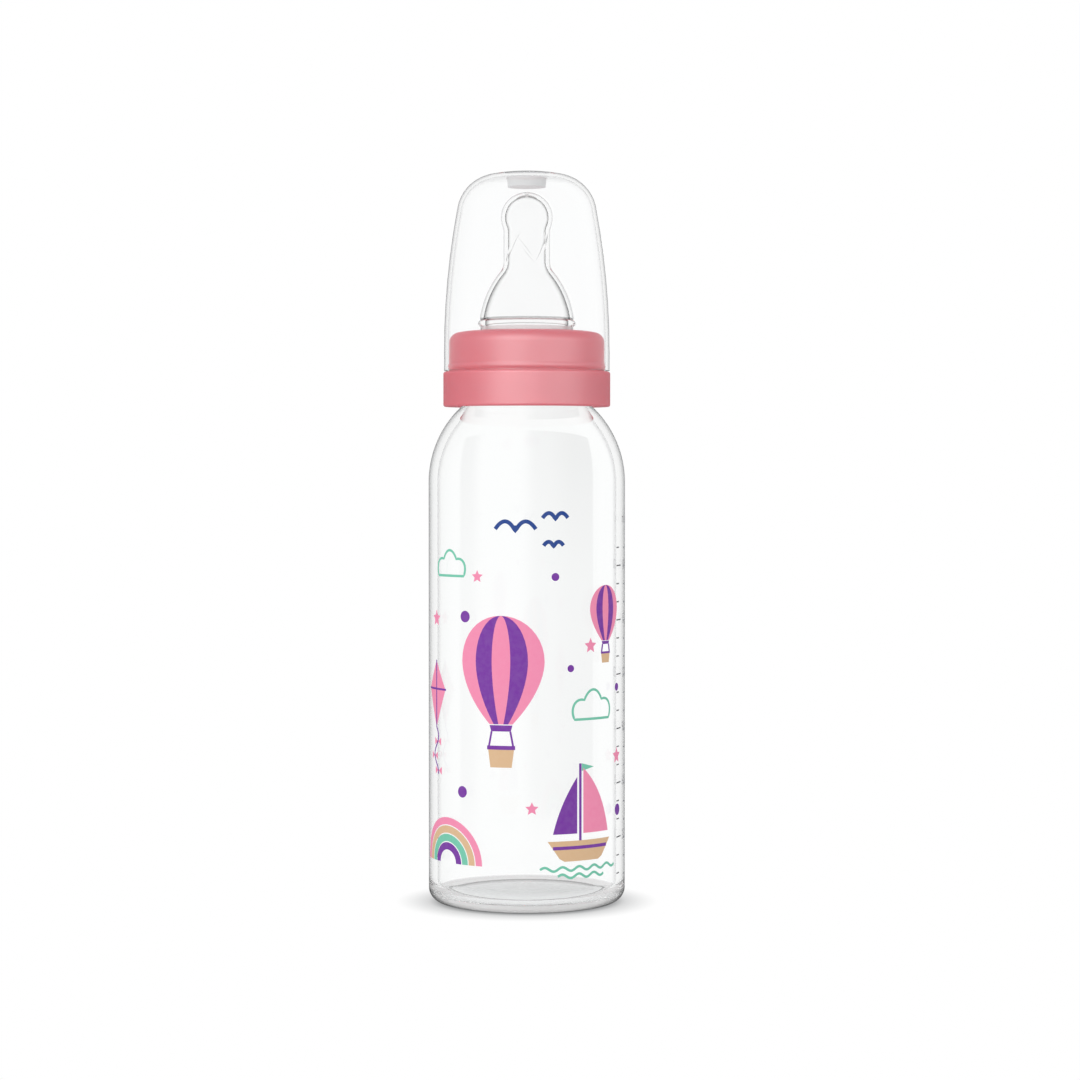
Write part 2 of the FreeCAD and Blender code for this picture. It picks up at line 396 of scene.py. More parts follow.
def thread_ridge(name, wall, outward, low, phase_height):
    """A screw ridge on a wall, outward (1) or inward (-1), that sinks into the wall at both ends."""
    total = thread_turns * 360.0
    steps = round(total / thread_step)
    first_angle = 360.0 * (low - phase_height) / thread_pitch
    root = wall - outward * thread_sink

    def size_at(share):
        fade = min(1.0, share * total / thread_fade, (1 - share) * total / thread_fade)
        return thread_end_size + (1 - thread_end_size) * (0.5 - 0.5 * math.cos(math.pi * fade))

    ridge = start_mesh(name, root, low)
    half = thread_root_width / 2
    reach = outward * (thread_depth + thread_sink)
    step_in = (thread_root_width - thread_crest_width) / 2
    bpy.ops.transform.translate(value=(0, 0, -half * MM))
    for step in ((reach, 0, step_in), (0, 0, thread_crest_width), (-reach, 0, step_in)):
        bpy.ops.mesh.extrude_vertices_move(TRANSFORM_OT_translate={"value": [way * MM for way in step]})
    bpy.ops.mesh.select_all(action="SELECT")
    bpy.ops.mesh.edge_face_add()
    turn_about_axis(first_angle)
    scale_about(root, first_angle, low, size_at(0.0))
    sweep_section(steps, thread_step, thread_pitch * thread_step / 360.0, size_at, root, low, first_angle)
    close_mesh()
    return ridge


def make_glass_body():
    foot_radius = body_radius - heel_radius
    ring_radius = foot_radius - foot_width
    push_up_radius = (ring_radius ** 2 + push_up ** 2) / (2 * push_up)
    inner_radius = body_radius - body_wall
    shoulder_centre = (body_radius - shoulder_radius, body_height)
    inner_shoulder = shoulder_radius - body_wall
    outer_blend = blend_centre(shoulder_centre, shoulder_radius, neck_radius, neck_blend, 1)
    inner_blend = blend_centre(shoulder_centre, inner_shoulder, neck_bore, inner_neck_blend, 1)
    lip_height = mouth_height - lip_radius
    inner_heel = inner_radius - inner_heel_radius

    glass = TurnedOutline(0.0, push_up)
    glass.arc((0.0, push_up - push_up_radius), (ring_radius, 0.0))
    glass.line(foot_radius, 0.0)
    glass.arc((foot_radius, heel_radius), (body_radius, heel_radius))
    glass.line(body_radius, body_height)
    glass.arc(shoulder_centre, towards(shoulder_centre, outer_blend, shoulder_radius))
    glass.arc(outer_blend, (neck_radius, outer_blend[1]))
    glass.line(neck_radius, lip_height)
    glass.arc((neck_radius - lip_radius, lip_height), (neck_radius - lip_radius, mouth_height))
    glass.line(neck_bore + lip_radius, mouth_height)
    glass.arc((neck_bore + lip_radius, lip_height), (neck_bore, lip_height))
    glass.line(neck_bore, inner_blend[1])
    glass.arc(inner_blend, towards(shoulder_centre, inner_blend, inner_shoulder))
    glass.arc(shoulder_centre, (inner_radius, body_height))
    glass.line(inner_radius, floor_height + inner_heel_radius)
    glass.arc((inner_heel, floor_height + inner_heel_radius), (inner_heel, floor_height))
    glass.line(0.0, floor_height)
    body = turn_piece("glass_body", glass, round_sides)

    thread_low = mouth_height - neck_thread_below_mouth - thread_turns * thread_pitch
    join_solid(body, thread_ridge("neck_thread", neck_radius, 1, thread_low, collar_rim))
    return body


def make_collar():
    collar_step = collar_rim + grip_height
    clamp_height = collar_top - collar_top_thickness
    crown_start = collar_hole + collar_flat
    crown_centre = (crown_start, collar_top - collar_crown)
    corner_radius = collar_radius - collar_corner
    corner_rise = math.sqrt((collar_crown - collar_corner) ** 2 - (corner_radius - crown_start) ** 2)
    corner = (corner_radius, crown_centre[1] + corner_rise)
    bead_start = collar_step + snap_bead_above_step
    hole_edge_radius = collar_hole + collar_hole_edge
    hole_edge_low = collar_top - collar_hole_edge
    grip_low = collar_rim + grip_edge
    grip_high = collar_step - grip_edge
    grip_round = grip_radius - grip_edge

    ring = TurnedOutline(collar_bore + collar_mouth_chamfer, collar_rim)
    ring.line(grip_round, collar_rim)
    ring.arc((grip_round, grip_low), (grip_radius, grip_low))
    ring.line(grip_radius, grip_high)
    ring.arc((grip_round, grip_high), (grip_round, collar_step))
    ring.line(collar_radius, collar_step)
    ring.line(collar_radius, bead_start)
    ring.bump(snap_bead_height, (collar_radius, bead_start + snap_bead_width))
    ring.line(collar_radius, corner[1])
    ring.arc(corner, towards(crown_centre, corner, collar_crown))
    ring.arc(crown_centre, (crown_start, collar_top))
    ring.line(hole_edge_radius, collar_top)
    ring.arc((hole_edge_radius, hole_edge_low), (collar_hole, hole_edge_low))
    ring.line(collar_hole, clamp_height)
    ring.line(collar_bore, clamp_height)
    ring.line(collar_bore, collar_rim + collar_mouth_chamfer)
    ring.close()
    collar = turn_piece("collar_ring", ring, round_sides)

    thread_low = collar_rim + collar_thread_above_rim
    phase = collar_rim + thread_pitch / 2
    join_solid(collar, thread_ridge("collar_thread", collar_bore, -1, thread_low, phase))
    return collar


def make_rib(low, first_angle):
    """One slanted rib on the bore of the teat's neck, thick in the middle and thin at both ends."""
    length = teat_neck_length - 2 * rib_margin
    path_radius = teat_neck_bore + rib_sink

    def size_at(share):
        return rib_end_radius + (rib_radius - rib_end_radius) * math.sin(math.pi * share)

    bpy.ops.object.select_all(action="DESELECT")
    bpy.ops.mesh.primitive_circle_add(
        vertices=rib_sides, radius=size_at(0.0) * MM, fill_type="NGON", rotation=(math.pi / 2, 0, 0))
    rib = bpy.context.object
    bpy.ops.object.transform_apply(location=False, rotation=True, scale=False)
    edit_all()
    bpy.ops.transform.translate(value=(path_radius * MM, 0, low * MM))
    turn_about_axis(first_angle)
    sweep_section(
        rib_steps, rib_twist / rib_steps, length / rib_steps, size_at, path_radius, low, first_angle)
    close_mesh()
    return rib


def make_teat():
    clamp_height = collar_top - collar_top_thickness
    flange_low = mouth_height + flange_edge
    flange_top = clamp_height - flange_edge
    flange_round = flange_radius - flange_edge
    bead_low = collar_top + bead_above_collar
    cone_low = bead_low + bead_width + cone_above_bead
    lean = math.radians(cone_lean)
    cone_centre = (cone_base_radius - cone_radius * math.cos(lean), cone_low - cone_radius * math.sin(lean))
    cone_blend = blend_centre(cone_centre, cone_radius, teat_neck_radius, teat_neck_blend, 1)
    bulb_drop = math.sqrt((bulb_radius + bulb_blend) ** 2 - (teat_neck_radius + bulb_blend) ** 2)
    bulb_centre = (0.0, cone_blend[1] + teat_neck_length + bulb_drop)
    bulb_touch = (teat_neck_radius + bulb_blend, bulb_centre[1] - bulb_drop)
    inner_cone = cone_radius - cone_wall
    inner_bulb = bulb_radius - bulb_wall
    inner_bulb_touch = blend_centre(bulb_centre, inner_bulb, teat_neck_bore, bulb_blend, -1)
    inner_blend = teat_neck_blend + teat_neck_radius - teat_neck_bore
    inner_cone_touch = blend_centre(cone_centre, inner_cone, teat_neck_bore, inner_blend, 1)
    inner_cone_base = cone_centre[0] + math.sqrt(inner_cone ** 2 - (cone_low - cone_centre[1]) ** 2)
    tip_rise = math.sqrt(bulb_radius ** 2 - flow_radius ** 2)
    inner_tip_rise = math.sqrt(inner_bulb ** 2 - flow_radius ** 2)

    skin = TurnedOutline(waist_bore + waist_flare, mouth_height)
    skin.line(flange_round, mouth_height)
    skin.arc((flange_round, flange_low), (flange_radius, flange_low))
    skin.line(flange_radius, flange_top)
    skin.arc((flange_round, flange_top), (flange_round, clamp_height))
    skin.line(waist_radius, clamp_height)
    skin.line(waist_radius, bead_low)
    skin.bump(bead_radius - waist_radius, (waist_radius, bead_low + bead_width))
    skin.line(cone_base_radius, cone_low)
    skin.arc(cone_centre, towards(cone_centre, cone_blend, cone_radius))
    skin.arc(cone_blend, (teat_neck_radius, cone_blend[1]))
    skin.line(teat_neck_radius, bulb_touch[1])
    skin.arc(bulb_touch, towards(bulb_centre, bulb_touch, bulb_radius))
    skin.arc(bulb_centre, (flow_radius, bulb_centre[1] + tip_rise))
    skin.line(flow_radius, bulb_centre[1] + inner_tip_rise)
    skin.arc(bulb_centre, towards(bulb_centre, inner_bulb_touch, inner_bulb))
    skin.arc(inner_bulb_touch, (teat_neck_bore, inner_bulb_touch[1]))
    skin.line(teat_neck_bore, inner_cone_touch[1])
    skin.arc(inner_cone_touch, towards(cone_centre, inner_cone_touch, inner_cone))
    skin.arc(cone_centre, (inner_cone_base, cone_low))
    skin.line(waist_bore, bead_low)
    skin.line(waist_bore, mouth_height + waist_flare)
    skin.close()
    teat = turn_piece("teat_skin", skin, teat_sides)

    for rib in range(rib_count):
        join_solid(teat, make_rib(cone_blend[1] + rib_margin, rib_first_angle + rib * 360.0 / rib_count))
    vent_place = ((waist_radius + neck_bore) / 2 * MM, 0, (mouth_height + clamp_height) / 2 * MM)
    bpy.ops.object.select_all(action="DESELECT")
    bpy.ops.mesh.primitive_cylinder_add(
        vertices=vent_sides, radius=vent_radius * MM, depth=2 * flange_thickness * MM, location=vent_place)
    join_solid(teat, bpy.context.object, "DIFFERENCE")
    return teat


def make_cap():
    crown_centre = (0.0, cap_top - cap_crown)
    side_centre = (cap_radius - cap_side, cap_rim + cap_straight)
    corner = corner_centre(side_centre, cap_side, crown_centre, cap_crown, cap_corner_radius)
    inner_crown = cap_crown - cap_wall
    inner_side = cap_side - cap_wall
    cap_bore = cap_radius - cap_wall
    boss_low = teat_tip_height + boss_above_tip
    boss_root_radius = boss_radius + boss_draft
    boss_root = crown_centre[1] + math.sqrt(inner_crown ** 2 - boss_root_radius ** 2)

    hood = TurnedOutline(0.0, cap_top)
    hood.arc(crown_centre, towards(crown_centre, corner, cap_crown))
    hood.arc(corner, towards(side_centre, corner, cap_side))
    hood.arc(side_centre, (cap_radius, side_centre[1]))
    hood.line(cap_radius, cap_rim)
    hood.line(cap_bore, cap_rim)
    hood.line(cap_bore, side_centre[1])
    hood.arc(side_centre, towards(side_centre, corner, inner_side))
    hood.arc(corner, towards(crown_centre, corner, inner_crown))
    hood.arc(crown_centre, (boss_root_radius, boss_root))
    hood.line(boss_radius, boss_low)
    hood.line(0.0, boss_low)
    return turn_piece("cap_hood", hood, round_sides)


# Flat outlines of the print, as lists of (round, height) points
def oval(place, wide, high, first=0.0, sweep=360.0, steps=32):
    """Points round an oval, or along a part of it."""
    count = steps if sweep == 360.0 else steps + 1
    angles = [math.radians(first + sweep * step / steps) for step in range(count)]
    return [(place[0] + wide * math.cos(angle), place[1] + high * math.sin(angle)) for angle in angles]


def curve(start, pull, end, steps=14):
    """Points along a bow from start to end, drawn out towards a third point."""
    points = []
    for step in range(steps + 1):
        share = step / steps
        weights = ((1 - share) ** 2, 2 * share * (1 - share), share ** 2)
        points.append(tuple(sum(weight * point[axis] for weight, point in zip(weights, (start, pull, end)))
                            for axis in (0, 1)))
    return points


def ribbon(path, width, closed=False):
    """The outline of a line of even width that follows a path."""
    left, right = [], []
    last = len(path) - 1
    for index, here in enumerate(path):
        before = path[index - 1] if closed else path[max(index - 1, 0)]
        after = path[(index + 1) % len(path)] if closed else path[min(index + 1, last)]
        half = width / 2 / math.dist(before, after)
        off = ((before[1] - after[1]) * half, (after[0] - before[0]) * half)
        left.append((here[0] + off[0], here[1] + off[1]))
        right.append((here[0] - off[0], here[1] - off[1]))
    if closed:
        left.append(left[0])
        right.append(right[0])
    return left + right[::-1]


def star(place, size):
    points = []
    for step in range(10):
        angle = math.radians(90 + 36 * step)
        reach = size * (star_notch if step % 2 else 1.0)
        points.append((place[0] + reach * math.cos(angle), place[1] + reach * math.sin(angle)))
    return points


def cloud(place, wide, high):
    """The outline of a cloud: three puffs over a level base."""
    path = []
    for step in range(37):
        angle = math.pi * step / 36
        puff = abs(math.sin(3 * angle))
        across = wide / 2 * math.cos(angle) * (1 - cloud_puff_width + cloud_puff_width * puff)
        up = high * math.sin(angle) * (1 - cloud_puff_height + cloud_puff_height * puff)
        path.append((place[0] + across, place[1] + up))
    return ribbon(path, print_line, closed=True)


def wave(start, length, crests):
    path = []
    for step in range(12 * crests + 1):
        share = step / (12 * crests)
        rise = wave_height * math.sin(2 * math.pi * crests * share)
        path.append((start[0] + length * share, start[1] + rise))
    return ribbon(path, print_line)


def rainbow_band(place, outer, inner):
    return oval(place, outer, outer, 0, 180, 28) + oval(place, inner, inner, 180, -180, 28)


def bird(place, span):
    """A far bird: two bowed wings in one stroke."""
    middle = (place[0], place[1] - 0.1 * span)
    left = curve((place[0] - span, place[1]), (place[0] - 0.45 * span, place[1] + 0.8 * span), middle)
    right = curve(middle, (place[0] + 0.45 * span, place[1] + 0.8 * span), (place[0] + span, place[1]))
    return ribbon(left + right[1:], bird_line)


def balloon_seam(place, size, side):
    """One seam of a balloon from its top to its skirt, this share of the way out to the side."""
    points = [(place[0] + size * side * math.cos(angle), place[1] + balloon_crown * size * math.sin(angle))
              for angle in (math.radians(90 - 9 * step) for step in range(10))]
    for step in range(15):
        drop = step / 14
        wide = balloon_skirt + (1 - balloon_skirt) * (1 - drop ** balloon_taper)
        points.append((place[0] + size * side * wide, place[1] - balloon_drop * size * drop))
    return points


def moved(place, *points):
    """Points of a motif, moved to its place."""
    return [(place[0] + across, place[1] + up) for across, up in points]


def print_balloon(inks, place, size):
    """A striped balloon with a skirt, ropes and a basket."""
    def at(*points):
        return moved(place, *((across * size, up * size) for across, up in points))

    for stripe, (left, right) in enumerate(zip(balloon_stripes, balloon_stripes[1:])):
        gore = balloon_seam(place, size, left) + balloon_seam(place, size, right)[:0:-1]
        inks["purple" if stripe % 2 else "pink"].append(gore)
    inks["purple"].append(at((-0.27, -1.44), (0.27, -1.44), (0.23, -1.58), (-0.23, -1.58)))
    for side in (-1, 1):
        inks["purple"].append(ribbon(at((side * 0.22, -1.58), (side * 0.29, -1.95)), fine_line))
    inks["tan"].append(at((-0.31, -1.95), (0.31, -1.95), (0.25, -2.4), (-0.25, -2.4)))
    inks["purple"].append(ribbon(at((-0.33, -1.95), (0.33, -1.95)), 0.09 * size))


def print_boat(inks, place):
    """A sailing boat on two lines of waves."""
    def at(*points):
        return moved(place, *points)

    inks["tan"].append(at((-10.4, 0), (10.6, 0), (7, -4.8), (5.6, -5.6), (-5.6, -5.6), (-7, -4.8)))
    inks["purple"].append(ribbon(at((-8.9, -1.9), (9, -1.9)), 0.9))
    inks["purple"].append(ribbon(at((-0.7, 0), (-0.7, 21)), 0.8))
    inks["pink"].append(at((0.3, 1.9)) + curve(*at((0.3, 19.8), (7.6, 13), (9.8, 1.9))))
    inks["purple"].append(at((-1.7, 1.9)) + curve(*at((-1.7, 17.4), (-6.8, 10.6), (-8.9, 1.9))))
    inks["mint"].append(at((-0.2, 21), (-0.2, 18.9), (4, 19.9)))
    inks["mint"].append(wave(*at((-12.5, -7.6)), 25.5, 5))
    inks["mint"].append(wave(*at((-7.5, -9.6)), 15.3, 3))


def print_kite(inks, place):
    """A kite with crossed spars and a tail with bows."""
    def at(*points):
        return moved(place, *points)

    inks["pink"].append(at((-0.3, 7.5), (-0.3, -10), (-5, 0)))
    inks["pink"].append(at((0.3, 7.5), (0.3, -10), (5, 0)))
    inks["purple"].append(ribbon(at((0, 8), (0, -10.6)), fine_line))
    inks["purple"].append(ribbon(at((-5.3, 0), (5.3, 0)), fine_line))
    tail = [(1.3 * math.sin(0.62 * drop), -10.5 - drop) for drop in range(14)]
    inks["purple"].append(ribbon(at(*tail), fine_line))
    for knot in (tail[4], tail[8], tail[12]):
        for side in (-1, 1):
            bow = ((0.2, 0), (1.9, 1.1), (1.9, -1.1))
            inks["pink"].append(at(*((knot[0] + side * across, knot[1] + up) for across, up in bow)))


def print_motifs():
    """All flat outlines of the print, by ink."""
    inks = {"pink": [], "tan": [], "mint": [], "purple": [], "blue": []}
    print_balloon(inks, (-7, 69), 12.0)
    print_balloon(inks, (25, 83), 6.2)
    print_boat(inks, (16.2, 20))
    print_kite(inks, (-31, 60.5))
    bands = ("pink", "tan", "mint", "purple")
    for ring, ink in enumerate(bands):
        inks[ink].append(rainbow_band((-25, 13), 12.5 - 2.3 * ring, 10.5 - 2.3 * ring))
    inks["mint"] += [cloud((20, 53), 15, 8), cloud((-24, 92), 13, 7)]
    for across, up, size in (
            (8, 92, 1.1), (12.5, 67, 1.0), (-18, 81, 1.6), (-19, 33, 1.6), (31.5, 27, 1.6), (31, 61, 1.1)):
        inks["purple"].append(oval((across, up), size, size, steps=24))
    for across, up, size in ((-31, 80, 2.4), (19, 73, 2.2), (31, 42, 2.4), (-14, 92, 1.8), (1.5, 29, 1.9)):
        inks["pink"].append(star((across, up), size))
    inks["blue"] += [bird((-3, 105), 5.6), bird((8, 108), 3.6), bird((7.5, 100.5), 2.8)]
    return inks


def draw_patch(points):
    """One flat patch of ink, drawn point by point in the upright plane."""
    patch = draw_line("patch", points)
    bpy.ops.mesh.edge_face_add()
    bpy.ops.object.mode_set(mode="OBJECT")
    return patch


def draw_number(text, place):
    """A figure of the scale, as a flat mesh in the upright plane."""
    bpy.ops.object.select_all(action="DESELECT")
    bpy.ops.object.text_add(location=(place[0] * MM, 0.0, place[1] * MM), rotation=(math.pi / 2, 0.0, 0.0))
    figure = bpy.context.object
    figure.data.body = text
    figure.data.size = scale_text_size * MM
    figure.data.align_y = "CENTER"
    figure.data.resolution_u = letter_steps
    bpy.ops.object.convert(target="MESH")
    figure = bpy.context.object
    bpy.ops.object.transform_apply(location=True, rotation=True, scale=True)
    return figure


def wrap_print(name, patches, layer):
    """Joins flat patches to one sheet of ink and lays it round the glass wall."""
    bpy.ops.object.select_all(action="DESELECT")
    for patch in patches:
        patch.select_set(True)
    sheet = patches[0]
    bpy.context.view_layer.objects.active = sheet
    bpy.ops.object.join()
    sheet.name = name
    sheet.data.name = name
    left = min(vertex.co.x for vertex in sheet.data.vertices)
    right = max(vertex.co.x for vertex in sheet.data.vertices)

    edit_all()
    bpy.ops.mesh.quads_convert_to_tris()
    for cut in range(1, math.ceil((right - left) / (bend_step * MM))):
        bpy.ops.mesh.select_all(action="SELECT")
        bpy.ops.mesh.bisect(
            plane_co=(left + cut * bend_step * MM, 0.0, 0.0), plane_no=(1.0, 0.0, 0.0),
            threshold=cut_reach * MM)
    bpy.ops.mesh.select_all(action="SELECT")
    bpy.ops.transform.translate(value=(0.0, -layer * MM, 0.0))
    bpy.ops.object.mode_set(mode="OBJECT")

    bend = sheet.modifiers.new("bend", "SIMPLE_DEFORM")
    bend.deform_method = "BEND"
    bend.deform_axis = "Z"
    bend.angle = (right - left) / (body_radius * MM)
    bpy.ops.object.modifier_apply(modifier=bend.name)
    coat = sheet.modifiers.new("coat", "SOLIDIFY")
    coat.thickness = ink_coat * MM
    coat.offset = 0.0
    bpy.ops.object.modifier_apply(modifier=coat.name)
    edit_all()
    bpy.ops.transform.translate(value=(0.0, -body_radius * MM, 0.0))
    close_mesh(merge=False)
    return sheet


def scale_height(mark):
    """The height of the mark for so many tens of millilitres."""
    return scale_first_height + scale_step_height * (mark - scale_numbered)


def make_scale():
    """Marks every 10 ml at the side of the wall, longer and with figures every 30 ml."""
    patches = []
    text_edge = scale_edge + scale_long_tick + scale_text_gap
    for mark in range(1, scale_last + 1):
        height = scale_height(mark)
        numbered = mark % scale_numbered == 0
        end = scale_edge + (scale_long_tick if numbered else scale_tick)
        patches.append(draw_patch(ribbon([(scale_edge, height), (end, height)], scale_line)))
        if numbered:
            patches.append(draw_number(str(10 * mark), (text_edge, height)))
    patches.append(draw_number("ml", (text_edge, scale_height(scale_last + scale_unit_rise))))
    return wrap_print("scale_marks", patches, first_layer)


# Nodes that finishes and the stage are built from
def feed(tree, node, inputs):
    """Links each input of a node to another node's output, or sets its value."""
    for name, value in dict(inputs).items():
        if isinstance(value, bpy.types.NodeSocket):
            tree.links.new(value, node.inputs[name])
        else:
            node.inputs[name].default_value = value


def add_node(tree, kind, inputs=(), **settings):
    """A new node with its settings made and its inputs fed."""
    node = tree.nodes.new("ShaderNode" + kind)
    for setting, choice in settings.items():
        setattr(node, setting, choice)
    feed(tree, node, inputs)
    return node


def calculate(tree, operation, *values):
    """The result of a Math node."""
    return add_node(tree, "Math", enumerate(values), operation=operation).outputs[0]


def rescale(tree, value, from_range, to_range=(0.0, 1.0), easing="LINEAR"):
    """Carries a value over from one range to another."""
    ends = dict(zip(("From Min", "From Max", "To Min", "To Max"), (*from_range, *to_range)))
    return add_node(tree, "MapRange", {"Value": value, **ends}, interpolation_type=easing).outputs["Result"]


def split(tree, place):
    """The parts of a place along the axes."""
    return add_node(tree, "SeparateXYZ", {0: place}).outputs


def grey(level):
    return (level, level, level)


def tint(tree, share, first, second, blend="MIX"):
    """Mixes two colours, each written out or from another node."""
    first, second = ((*colour, 1.0) if isinstance(colour, tuple) else colour for colour in (first, second))
    mix = add_node(tree, "Mix", {0: share, 6: first, 7: second}, data_type="RGBA", blend_type=blend)
    return mix.outputs[2]


def ramp(tree, share, stops):
    """Colours eased from stop to stop, each stop a position and a colour."""
    band = add_node(tree, "ValToRGB", {"Fac": share})
    band.color_ramp.interpolation = "EASE"
    for spare in range(len(stops) - 2):
        band.color_ramp.elements.new(0.5)
    for stop, (position, colour) in zip(band.color_ramp.elements, stops):
        stop.position = position
        stop.color = (*colour, 1.0)
    return band.outputs["Color"]


def mix_shaders(tree, share, first, second):
    return add_node(tree, "MixShader", {0: share, 1: first, 2: second}).outputs[0]


def show(tree, surface):
    """Makes a shader the surface that is seen."""
    feed(tree, tree.nodes["Material Output"], {"Surface": surface})


def new_material(name):
    material = bpy.data.materials.new(name)
    material.use_nodes = True
    return material, material.node_tree


def new_finish(name):
    """A material with its shader and a shared Object coordinate, for nodes to be added to."""
    finish, tree = new_material(name)
    return finish, tree, tree.nodes["Principled BSDF"], add_node(tree, "TexCoord").outputs["Object"]


def noise(tree, place, scale, detail=2.0, stretch=(1.0, 1.0, 1.0)):
    """Noise on Object coordinates, stretched along the axes."""
    mapping = add_node(tree, "Mapping", {"Vector": place, "Scale": stretch})
    texture = add_node(
        tree, "TexNoise", {"Vector": mapping.outputs["Vector"], "Scale": scale, "Detail": detail})
    return texture.outputs["Fac"]


def spread(tree, value, low, high):
    """Carries noise over to a range of numbers."""
    return rescale(tree, value, noise_range, (low, high))


def relief(tree, shader, value, strength, depth):
    """Raises the surface by a value."""
    bump = add_node(tree, "Bump", {"Strength": strength, "Distance": depth, "Height": value})
    feed(tree, shader, {"Normal": bump.outputs["Normal"]})


def edge_shade(tree, clear, rim_start, rim_end, rim_dark):
    """Clear seen square on, and darker where the surface turns away: a painted shade for the dark rims that
    clear pieces show.
    """
    facing = add_node(tree, "LayerWeight", {"Blend": 0.5}).outputs["Facing"]
    rim = ramp(tree, facing, ((rim_start, grey(1.0)), (rim_end, (rim_dark, rim_dark, rim_dark * rim_blue))))
    return tint(tree, 1.0, clear, rim, "MULTIPLY")


def let_light_through(tree, shader, clearness):
    """Lets the lamps shine through a clear piece on what is inside it."""
    clear = add_node(tree, "BsdfTransparent", {"Color": (*grey(clearness), 1.0)})
    path = add_node(tree, "LightPath").outputs
    show(tree, mix_shaders(tree, path["Is Shadow Ray"], shader.outputs[0], clear.outputs[0]))


# Finishes
def foot_stipple(tree, place, smooth):
    """The roughness of the glass: polished, and stippled under the foot."""
    heights = (stipple_full * push_up * MM, stipple_gone * push_up * MM)
    under = rescale(tree, split(tree, place)["Z"], heights, (stipple_roughness, 0.0))
    return calculate(tree, "MAXIMUM", under, smooth)


def glass_finish(name, clearness=1.0, rim_start=0.66, rim_end=0.92, rim_dark=0.4):
    """Clear blown glass: faint upright waves from the mould, a trace of haze, and painted shade at the rims.
    """
    finish, tree, shader, place = new_finish(name)
    waves = noise(tree, place, scale=60.0, detail=1.0, stretch=(1.0, 1.0, 0.15))
    haze = noise(tree, place, scale=45.0)
    dull, bright = (tuple(clearness * part for part in colour)
                    for colour in ((0.985, 0.992, 0.99), (0.995, 0.998, 0.997)))
    clear = tint(tree, haze, dull, bright)
    feed(tree, shader, {
        "Base Color": edge_shade(tree, clear, rim_start, rim_end, rim_dark),
        "Roughness": foot_stipple(tree, place, spread(tree, haze, 0.0, 0.004)),
        "Transmission Weight": 1.0,
        "IOR": 1.25})
    relief(tree, shader, waves, strength=0.01, depth=0.0003)
    let_light_through(tree, shader, clearness=0.93)
    return finish


def above_milk(tree, place, low_value):
    """A value on the milky low part of the heel that rises to 1 above it."""
    return rescale(tree, split(tree, place)["Z"], (milk_full * MM, milk_gone * MM), (low_value, 1.0))


def heel_finish():
    """The glass of the heel: deeper painted shade at its rims where it meets the floor, and milky, greyed by
    a painted shade, where it turns under to the stippled foot.
    """
    finish = glass_finish("heel_glass", rim_start=0.5, rim_end=0.9, rim_dark=0.1)
    tree = finish.node_tree
    shader = tree.nodes["Principled BSDF"]
    place = tree.nodes["Texture Coordinate"].outputs["Object"]
    clear = shader.inputs["Base Color"].links[0].from_socket
    shade = add_node(
        tree, "VectorMath", {0: clear, "Scale": above_milk(tree, place, milk_shade)}, operation="SCALE")
    feed(tree, shader, {
        "Base Color": shade.outputs["Vector"],
        "Transmission Weight": above_milk(tree, place, milk_clearness)})
    return finish


def silicone_finish(name, clearness=0.985, rim_start=0.6, rim_end=0.92, rim_dark=0.3, see_through=1.0):
    """Clear silicone rubber: soft gloss with a fine moulded skin, and painted shade at its rims."""
    finish, tree, shader, place = new_finish(name)
    skin = noise(tree, place, scale=400.0, detail=3.0)
    veil = noise(tree, place, scale=90.0)
    clear = tint(tree, veil, grey(clearness - silicone_veil), grey(clearness + silicone_veil))
    feed(tree, shader, {
        "Base Color": edge_shade(tree, clear, rim_start, rim_end, rim_dark),
        "Roughness": spread(tree, skin, 0.01, 0.04),
        "Transmission Weight": see_through,
        "IOR": 1.1})
    relief(tree, shader, veil, strength=0.03, depth=0.0002)
    let_light_through(tree, shader, clearness=0.9)
    return finish


def boss_mask(tree, place):
    """1 on the boss under the cap's crown and 0 elsewhere."""
    across = add_node(tree, "VectorMath", {0: place, 1: (1.0, 1.0, 0.0)}, operation="MULTIPLY")
    reach = add_node(tree, "VectorMath", {0: across.outputs["Vector"]}, operation="LENGTH")
    near = calculate(tree, "LESS_THAN", reach.outputs["Value"], (boss_radius + 2 * boss_draft) * MM)
    under = calculate(tree, "LESS_THAN", split(tree, place)["Z"], (cap_top - boss_milk_start * cap_wall) * MM)
    return calculate(tree, "MULTIPLY", near, under)


def cap_finish():
    """Clear moulded plastic: faint flow lines down the hood, painted shade at its rims and a frosted boss
    under the crown.
    """
    finish, tree, shader, place = new_finish("clear_plastic")
    flow = noise(tree, place, scale=55.0, stretch=(1.0, 1.0, 0.25))
    clear = tint(tree, flow, (0.985, 0.989, 0.989), (0.995, 0.997, 0.997))
    hood = edge_shade(tree, clear, rim_start=0.72, rim_end=0.95, rim_dark=0.4)
    boss = boss_mask(tree, place)
    feed(tree, shader, {
        "Base Color": tint(tree, boss, hood, boss_colour),
        "Roughness": calculate(tree, "MULTIPLY_ADD", boss, boss_roughness, spread(tree, flow, 0.0, 0.006)),
        "Transmission Weight": calculate(tree, "MULTIPLY_ADD", boss, -boss_milk, 1.0),
        "IOR": 1.15})
    relief(tree, shader, flow, strength=0.02, depth=0.0002)
    let_light_through(tree, shader, clearness=1.0)
    return finish


def collar_finish():
    """Satin pink moulded plastic."""
    finish, tree, shader, place = new_finish("pink_plastic")
    mottle = noise(tree, place, scale=120.0, detail=3.0)
    grain = noise(tree, place, scale=2200.0)
    feed(tree, shader, {
        "Base Color": tint(tree, mottle, (0.66, 0.155, 0.19), (0.7, 0.168, 0.205)),
        "Roughness": spread(tree, grain, 0.46, 0.56),
        "Specular IOR Level": 0.6,
        "Subsurface Weight": 0.5,
        "Subsurface Radius": (1.0, 0.45, 0.45),
        "Subsurface Scale": 0.004})
    relief(tree, shader, grain, strength=0.12, depth=0.00006)
    return finish


